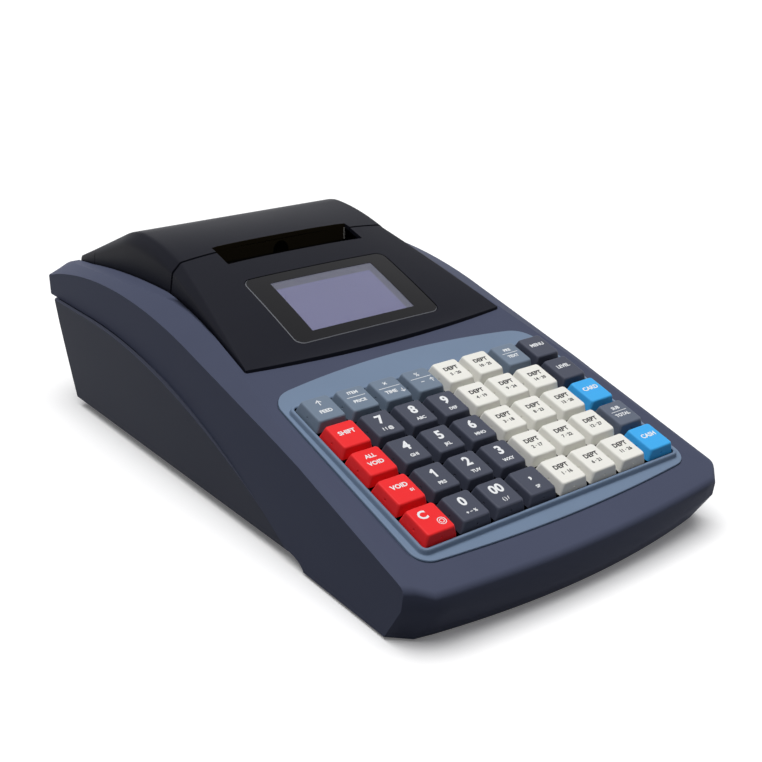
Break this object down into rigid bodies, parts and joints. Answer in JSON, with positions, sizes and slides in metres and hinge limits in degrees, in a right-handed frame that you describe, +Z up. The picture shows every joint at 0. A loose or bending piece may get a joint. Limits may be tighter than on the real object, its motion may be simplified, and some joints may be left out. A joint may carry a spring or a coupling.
{
  "type": "ticket register",
  "caption": "Desktop ticket register: sloping keypad of sprung keys, tilted display under a clear window, and a hinged lid over a receipt roll and printer, in a two-part arched case.",
  "frame": {"origin": "on the table, under the middle of the bounding box", "axes": "+X to the user's right, +Y away from the user towards the printer, +Z up"},
  "size_m": [0.1898, 0.363, 0.1134],
  "materials": {
    "lower_case": "fine-grained dark slate moulding",
    "upper_case": "fine-grained blue-grey slate moulding",
    "keypad_bezel": "satin steel-blue moulding",
    "dome_mat": "moulded silicone",
    "board": "green solder resist on glass fibre",
    "dark_cover": "fine-grained near-black moulding",
    "window": "clear acrylic with a dark border printed behind it",
    "display": "unlit lilac-grey liquid crystal panel",
    "steel": "ground steel pin",
    "printer_plastic": "glass-filled black moulding",
    "print_head": "milled aluminium carrier with a glazed edge",
    "platen_rubber": "ground rubber on a steel shaft",
    "pinion_plastic": "natural acetal",
    "motor_steel": "drawn steel can",
    "paper": "uncoated thermal paper",
    "socket_plastic": "moulded socket bodies",
    "rubber": "soft black rubber",
    "screw_steel": "zinc-plated steel",
    "key_ivory": "satin ivory caps with printed legends",
    "key_dark": "satin dark slate caps with printed legends",
    "key_red": "satin red caps with printed legends",
    "key_steel": "satin steel-blue caps with printed legends",
    "key_sky": "satin sky-blue caps with printed legends",
    "key_grey": "satin grey caps with printed legends"
  },
  "bodies": {
    "case": {"lower_case": "lower_case", "upper_case": "upper_case", "keypad_bezel": "keypad_bezel", "key_dome_mat": "dome_mat", "key_board": "board", "display_cover": "dark_cover", "display_window": "window", "display_module": "display", "lid_hinge_pin": "steel", "printer_frame": "printer_plastic", "print_head": "print_head", "feed_motor": "motor_steel", "main_board": "board", "rear_sockets": "socket_plastic", "rubber_feet": "rubber", "case_screws": "screw_steel"},
    "lid": {"paper_lid": "dark_cover"},
    "platen": {"platen_roller": "platen_rubber"},
    "pinion": {"motor_pinion": "pinion_plastic"},
    "roll": {"paper_roll": "paper"},
    "key_r1_c1": {"key_r1_c1": "key_steel"},
    "key_r1_c2": {"key_r1_c2": "key_steel"},
    "key_r1_c3": {"key_r1_c3": "key_steel"},
    "key_r1_c4": {"key_r1_c4": "key_steel"},
    "key_r1_c5": {"key_r1_c5": "key_ivory"},
    "key_r1_c6": {"key_r1_c6": "key_ivory"},
    "key_r1_c7": {"key_r1_c7": "key_steel"},
    "key_r1_c8": {"key_r1_c8": "key_dark"},
    "key_r2_c1": {"key_r2_c1": "key_red"},
    "key_r2_c2": {"key_r2_c2": "key_dark"},
    "key_r2_c3": {"key_r2_c3": "key_dark"},
    "key_r2_c4": {"key_r2_c4": "key_dark"},
    "key_r2_c5": {"key_r2_c5": "key_ivory"},
    "key_r2_c6": {"key_r2_c6": "key_ivory"},
    "key_r2_c7": {"key_r2_c7": "key_ivory"},
    "key_r2_c8": {"key_r2_c8": "key_dark"},
    "key_r3_c1": {"key_r3_c1": "key_red"},
    "key_r3_c2": {"key_r3_c2": "key_dark"},
    "key_r3_c3": {"key_r3_c3": "key_dark"},
    "key_r3_c4": {"key_r3_c4": "key_dark"},
    "key_r3_c5": {"key_r3_c5": "key_ivory"},
    "key_r3_c6": {"key_r3_c6": "key_ivory"},
    "key_r3_c7": {"key_r3_c7": "key_ivory"},
    "key_r3_c8": {"key_r3_c8": "key_sky"},
    "key_r4_c1": {"key_r4_c1": "key_red"},
    "key_r4_c2": {"key_r4_c2": "key_dark"},
    "key_r4_c3": {"key_r4_c3": "key_dark"},
    "key_r4_c4": {"key_r4_c4": "key_dark"},
    "key_r4_c5": {"key_r4_c5": "key_ivory"},
    "key_r4_c6": {"key_r4_c6": "key_ivory"},
    "key_r4_c7": {"key_r4_c7": "key_ivory"},
    "key_r4_c8": {"key_r4_c8": "key_grey"},
    "key_r5_c1": {"key_r5_c1": "key_red"},
    "key_r5_c2": {"key_r5_c2": "key_dark"},
    "key_r5_c3": {"key_r5_c3": "key_dark"},
    "key_r5_c4": {"key_r5_c4": "key_dark"},
    "key_r5_c5": {"key_r5_c5": "key_ivory"},
    "key_r5_c6": {"key_r5_c6": "key_ivory"},
    "key_r5_c7": {"key_r5_c7": "key_ivory"},
    "key_r5_c8": {"key_r5_c8": "key_sky"}
  },
  "joints": [
    {"name": "lid_hinge", "type": "hinge", "parent": "case", "child": "lid", "pos_m": [0, 0.1719, 0.0776], "axis": [-1, 0, 0], "range_deg": [0, 95]},
    {"name": "platen_spin", "type": "hinge", "parent": "lid", "child": "platen", "pos_m": [0, 0.0745, 0.092], "axis": [1, 0, 0], "continuous": true},
    {"name": "pinion_spin", "type": "hinge", "parent": "case", "child": "pinion", "pos_m": [0.0497, 0.06872, 0.082], "axis": [1, 0, 0], "continuous": true},
    {"name": "roll_spin", "type": "hinge", "parent": "case", "child": "roll", "pos_m": [0, 0.1145, 0.0623], "axis": [1, 0, 0], "continuous": true},
    {"name": "key_r1_c1_press", "type": "slide", "parent": "case", "child": "key_r1_c1", "axis": [0, 0.2924, -0.9563], "range_m": [0, 0.003], "stiffness_N_per_m": 200, "springref_m": -0.001},
    {"name": "key_r1_c2_press", "type": "slide", "parent": "case", "child": "key_r1_c2", "axis": [0, 0.2924, -0.9563], "range_m": [0, 0.003], "stiffness_N_per_m": 200, "springref_m": -0.001},
    {"name": "key_r1_c3_press", "type": "slide", "parent": "case", "child": "key_r1_c3", "axis": [0, 0.2924, -0.9563], "range_m": [0, 0.003], "stiffness_N_per_m": 200, "springref_m": -0.001},
    {"name": "key_r1_c4_press", "type": "slide", "parent": "case", "child": "key_r1_c4", "axis": [0, 0.2924, -0.9563], "range_m": [0, 0.003], "stiffness_N_per_m": 200, "springref_m": -0.001},
    {"name": "key_r1_c5_press", "type": "slide", "parent": "case", "child": "key_r1_c5", "axis": [0, 0.2924, -0.9563], "range_m": [0, 0.003], "stiffness_N_per_m": 200, "springref_m": -0.001},
    {"name": "key_r1_c6_press", "type": "slide", "parent": "case", "child": "key_r1_c6", "axis": [0, 0.2924, -0.9563], "range_m": [0, 0.003], "stiffness_N_per_m": 200, "springref_m": -0.001},
    {"name": "key_r1_c7_press", "type": "slide", "parent": "case", "child": "key_r1_c7", "axis": [0, 0.2924, -0.9563], "range_m": [0, 0.003], "stiffness_N_per_m": 200, "springref_m": -0.001},
    {"name": "key_r1_c8_press", "type": "slide", "parent": "case", "child": "key_r1_c8", "axis": [0, 0.2924, -0.9563], "range_m": [0, 0.003], "stiffness_N_per_m": 200, "springref_m": -0.001},
    {"name": "key_r2_c1_press", "type": "slide", "parent": "case", "child": "key_r2_c1", "axis": [0, 0.2924, -0.9563], "range_m": [0, 0.003], "stiffness_N_per_m": 200, "springref_m": -0.001},
    {"name": "key_r2_c2_press", "type": "slide", "parent": "case", "child": "key_r2_c2", "axis": [0, 0.2924, -0.9563], "range_m": [0, 0.003], "stiffness_N_per_m": 200, "springref_m": -0.001},
    {"name": "key_r2_c3_press", "type": "slide", "parent": "case", "child": "key_r2_c3", "axis": [0, 0.2924, -0.9563], "range_m": [0, 0.003], "stiffness_N_per_m": 200, "springref_m": -0.001},
    {"name": "key_r2_c4_press", "type": "slide", "parent": "case", "child": "key_r2_c4", "axis": [0, 0.2924, -0.9563], "range_m": [0, 0.003], "stiffness_N_per_m": 200, "springref_m": -0.001},
    {"name": "key_r2_c5_press", "type": "slide", "parent": "case", "child": "key_r2_c5", "axis": [0, 0.2924, -0.9563], "range_m": [0, 0.003], "stiffness_N_per_m": 200, "springref_m": -0.001},
    {"name": "key_r2_c6_press", "type": "slide", "parent": "case", "child": "key_r2_c6", "axis": [0, 0.2924, -0.9563], "range_m": [0, 0.003], "stiffness_N_per_m": 200, "springref_m": -0.001},
    {"name": "key_r2_c7_press", "type": "slide", "parent": "case", "child": "key_r2_c7", "axis": [0, 0.2924, -0.9563], "range_m": [0, 0.003], "stiffness_N_per_m": 200, "springref_m": -0.001},
    {"name": "key_r2_c8_press", "type": "slide", "parent": "case", "child": "key_r2_c8", "axis": [0, 0.2924, -0.9563], "range_m": [0, 0.003], "stiffness_N_per_m": 200, "springref_m": -0.001},
    {"name": "key_r3_c1_press", "type": "slide", "parent": "case", "child": "key_r3_c1", "axis": [0, 0.2924, -0.9563], "range_m": [0, 0.003], "stiffness_N_per_m": 200, "springref_m": -0.001},
    {"name": "key_r3_c2_press", "type": "slide", "parent": "case", "child": "key_r3_c2", "axis": [0, 0.2924, -0.9563], "range_m": [0, 0.003], "stiffness_N_per_m": 200, "springref_m": -0.001},
    {"name": "key_r3_c3_press", "type": "slide", "parent": "case", "child": "key_r3_c3", "axis": [0, 0.2924, -0.9563], "range_m": [0, 0.003], "stiffness_N_per_m": 200, "springref_m": -0.001},
    {"name": "key_r3_c4_press", "type": "slide", "parent": "case", "child": "key_r3_c4", "axis": [0, 0.2924, -0.9563], "range_m": [0, 0.003], "stiffness_N_per_m": 200, "springref_m": -0.001},
    {"name": "key_r3_c5_press", "type": "slide", "parent": "case", "child": "key_r3_c5", "axis": [0, 0.2924, -0.9563], "range_m": [0, 0.003], "stiffness_N_per_m": 200, "springref_m": -0.001},
    {"name": "key_r3_c6_press", "type": "slide", "parent": "case", "child": "key_r3_c6", "axis": [0, 0.2924, -0.9563], "range_m": [0, 0.003], "stiffness_N_per_m": 200, "springref_m": -0.001},
    {"name": "key_r3_c7_press", "type": "slide", "parent": "case", "child": "key_r3_c7", "axis": [0, 0.2924, -0.9563], "range_m": [0, 0.003], "stiffness_N_per_m": 200, "springref_m": -0.001},
    {"name": "key_r3_c8_press", "type": "slide", "parent": "case", "child": "key_r3_c8", "axis": [0, 0.2924, -0.9563], "range_m": [0, 0.003], "stiffness_N_per_m": 200, "springref_m": -0.001},
    {"name": "key_r4_c1_press", "type": "slide", "parent": "case", "child": "key_r4_c1", "axis": [0, 0.2924, -0.9563], "range_m": [0, 0.003], "stiffness_N_per_m": 200, "springref_m": -0.001},
    {"name": "key_r4_c2_press", "type": "slide", "parent": "case", "child": "key_r4_c2", "axis": [0, 0.2924, -0.9563], "range_m": [0, 0.003], "stiffness_N_per_m": 200, "springref_m": -0.001},
    {"name": "key_r4_c3_press", "type": "slide", "parent": "case", "child": "key_r4_c3", "axis": [0, 0.2924, -0.9563], "range_m": [0, 0.003], "stiffness_N_per_m": 200, "springref_m": -0.001},
    {"name": "key_r4_c4_press", "type": "slide", "parent": "case", "child": "key_r4_c4", "axis": [0, 0.2924, -0.9563], "range_m": [0, 0.003], "stiffness_N_per_m": 200, "springref_m": -0.001},
    {"name": "key_r4_c5_press", "type": "slide", "parent": "case", "child": "key_r4_c5", "axis": [0, 0.2924, -0.9563], "range_m": [0, 0.003], "stiffness_N_per_m": 200, "springref_m": -0.001},
    {"name": "key_r4_c6_press", "type": "slide", "parent": "case", "child": "key_r4_c6", "axis": [0, 0.2924, -0.9563], "range_m": [0, 0.003], "stiffness_N_per_m": 200, "springref_m": -0.001},
    {"name": "key_r4_c7_press", "type": "slide", "parent": "case", "child": "key_r4_c7", "axis": [0, 0.2924, -0.9563], "range_m": [0, 0.003], "stiffness_N_per_m": 200, "springref_m": -0.001},
    {"name": "key_r4_c8_press", "type": "slide", "parent": "case", "child": "key_r4_c8", "axis": [0, 0.2924, -0.9563], "range_m": [0, 0.003], "stiffness_N_per_m": 200, "springref_m": -0.001},
    {"name": "key_r5_c1_press", "type": "slide", "parent": "case", "child": "key_r5_c1", "axis": [0, 0.2924, -0.9563], "range_m": [0, 0.003], "stiffness_N_per_m": 200, "springref_m": -0.001},
    {"name": "key_r5_c2_press", "type": "slide", "parent": "case", "child": "key_r5_c2", "axis": [0, 0.2924, -0.9563], "range_m": [0, 0.003], "stiffness_N_per_m": 200, "springref_m": -0.001},
    {"name": "key_r5_c3_press", "type": "slide", "parent": "case", "child": "key_r5_c3", "axis": [0, 0.2924, -0.9563], "range_m": [0, 0.003], "stiffness_N_per_m": 200, "springref_m": -0.001},
    {"name": "key_r5_c4_press", "type": "slide", "parent": "case", "child": "key_r5_c4", "axis": [0, 0.2924, -0.9563], "range_m": [0, 0.003], "stiffness_N_per_m": 200, "springref_m": -0.001},
    {"name": "key_r5_c5_press", "type": "slide", "parent": "case", "child": "key_r5_c5", "axis": [0, 0.2924, -0.9563], "range_m": [0, 0.003], "stiffness_N_per_m": 200, "springref_m": -0.001},
    {"name": "key_r5_c6_press", "type": "slide", "parent": "case", "child": "key_r5_c6", "axis": [0, 0.2924, -0.9563], "range_m": [0, 0.003], "stiffness_N_per_m": 200, "springref_m": -0.001},
    {"name": "key_r5_c7_press", "type": "slide", "parent": "case", "child": "key_r5_c7", "axis": [0, 0.2924, -0.9563], "range_m": [0, 0.003], "stiffness_N_per_m": 200, "springref_m": -0.001},
    {"name": "key_r5_c8_press", "type": "slide", "parent": "case", "child": "key_r5_c8", "axis": [0, 0.2924, -0.9563], "range_m": [0, 0.003], "stiffness_N_per_m": 200, "springref_m": -0.001}
  ],
  "couplings": [
    {"joint": "pinion_spin", "follows": "platen_spin", "ratio": -1.7143}
  ]
}
